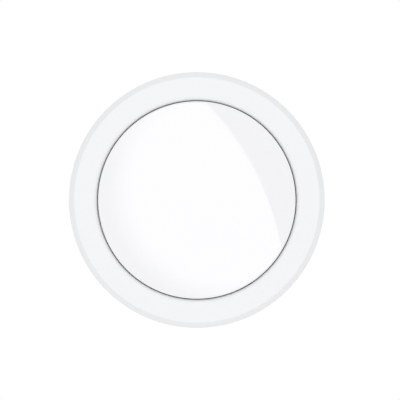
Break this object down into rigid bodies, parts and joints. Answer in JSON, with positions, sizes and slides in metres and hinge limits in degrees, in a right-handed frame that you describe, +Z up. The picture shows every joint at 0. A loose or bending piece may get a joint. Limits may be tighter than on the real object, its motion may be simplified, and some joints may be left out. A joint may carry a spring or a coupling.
{
  "type": "smart radiator thermostat",
  "caption": "Round radiator thermostat head with a turning setting ring, a glossy push-button front, a union nut and a motor with gears that drives a plunger.",
  "frame": {"origin": "centre of the union nut's mouth, where the radiator valve goes in", "axes": "-Y is the front that faces the user, +Y points into the valve, +Z is up"},
  "size_m": [0.056, 0.0901, 0.056],
  "materials": {
    "body_white": "fine matt moulded ABS",
    "ring_white": "smooth matt moulded ABS",
    "cover_white": "polished, slightly translucent acrylic or polycarbonate",
    "nickel": "turned brass with satin nickel plating",
    "grey_plastic": "glass-filled nylon, as moulded",
    "white_plastic": "plain moulded plastic",
    "black_plastic": "dull black plastic",
    "acetal": "natural acetal, waxy",
    "brass": "turned brass",
    "steel": "stamped or turned steel",
    "cell_can": "dark film round a steel can, plain ends",
    "board_green": "solder mask over glass fibre",
    "amber_film": "thin amber film with copper lines"
  },
  "bodies": {
    "body": {"housing": "body_white", "collar": "grey_plastic", "gear_case": "grey_plastic", "thrust_plate": "steel", "gear_pillars": "grey_plastic", "bridge_plate": "steel", "case_lid": "grey_plastic", "gear_pins": "steel", "motor_can": "steel", "motor_cap": "white_plastic", "motor_flex": "amber_film", "battery_cradle": "white_plastic", "left_cell": "cell_can", "right_cell": "cell_can", "contact_bridge": "steel", "front_contacts": "steel", "front_frame": "grey_plastic", "main_board": "board_green", "board_chips": "black_plastic", "radio_module": "steel", "tact_switches": "black_plastic", "display_module": "black_plastic", "light_mask": "black_plastic", "temperature_sensor": "board_green"},
    "ring": {"setting_ring": "ring_white", "ring_magnets": "steel"},
    "button": {"front_cover": "cover_white", "button_frame": "white_plastic", "switch_stems": "white_plastic"},
    "nut": {"union_nut": "nickel"},
    "output": {"output_sleeve": "brass", "output_wheel": "acetal"},
    "third": {"third_gear": "acetal"},
    "second": {"second_gear": "acetal"},
    "first": {"first_gear": "acetal"},
    "rotor": {"motor_pinion": "brass", "motor_shaft": "steel"},
    "plunger": {"plunger": "steel"},
    "battery_door": {"battery_cover": "body_white"}
  },
  "joints": [
    {"name": "ring_turn", "type": "hinge", "parent": "body", "child": "ring", "pos_m": [0, -0.083, 0], "axis": [0, -1, 0], "continuous": true},
    {"name": "button_press", "type": "slide", "parent": "body", "child": "button", "axis": [0, 1, 0], "range_m": [0, 0.0005], "stiffness_N_per_m": 1200, "springref_m": -0.0005},
    {"name": "nut_turn", "type": "hinge", "parent": "body", "child": "nut", "pos_m": [0, -0.007, 0], "axis": [0, 1, 0], "continuous": true},
    {"name": "output_turn", "type": "hinge", "parent": "body", "child": "output", "pos_m": [0, -0.035, 0], "axis": [0, -1, 0], "range_deg": [0, 1080]},
    {"name": "third_turn", "type": "hinge", "parent": "body", "child": "third", "pos_m": [0, -0.035, 0.012], "axis": [0, -1, 0], "range_deg": [-3240, 0]},
    {"name": "second_turn", "type": "hinge", "parent": "body", "child": "second", "pos_m": [0, -0.035, 0], "axis": [0, -1, 0], "range_deg": [0, 9720]},
    {"name": "first_turn", "type": "hinge", "parent": "body", "child": "first", "pos_m": [0, -0.035, 0.012], "axis": [0, -1, 0], "range_deg": [-29160, 0]},
    {"name": "rotor_turn", "type": "hinge", "parent": "body", "child": "rotor", "pos_m": [0, -0.035, 0], "axis": [0, -1, 0], "range_deg": [0, 87480]},
    {"name": "plunger_slide", "type": "slide", "parent": "body", "child": "plunger", "axis": [0, 1, 0], "range_m": [0, 0.0045]},
    {"name": "battery_door_slide", "type": "slide", "parent": "body", "child": "battery_door", "axis": [0, 0, -1], "range_m": [0, 0.02]}
  ],
  "couplings": [
    {"joint": "output_turn", "follows": "plunger_slide", "rad_per_m": 4188.8},
    {"joint": "third_turn", "follows": "plunger_slide", "rad_per_m": -12566},
    {"joint": "second_turn", "follows": "plunger_slide", "rad_per_m": 37699},
    {"joint": "first_turn", "follows": "plunger_slide", "rad_per_m": -113100},
    {"joint": "rotor_turn", "follows": "plunger_slide", "rad_per_m": 339290}
  ]
}
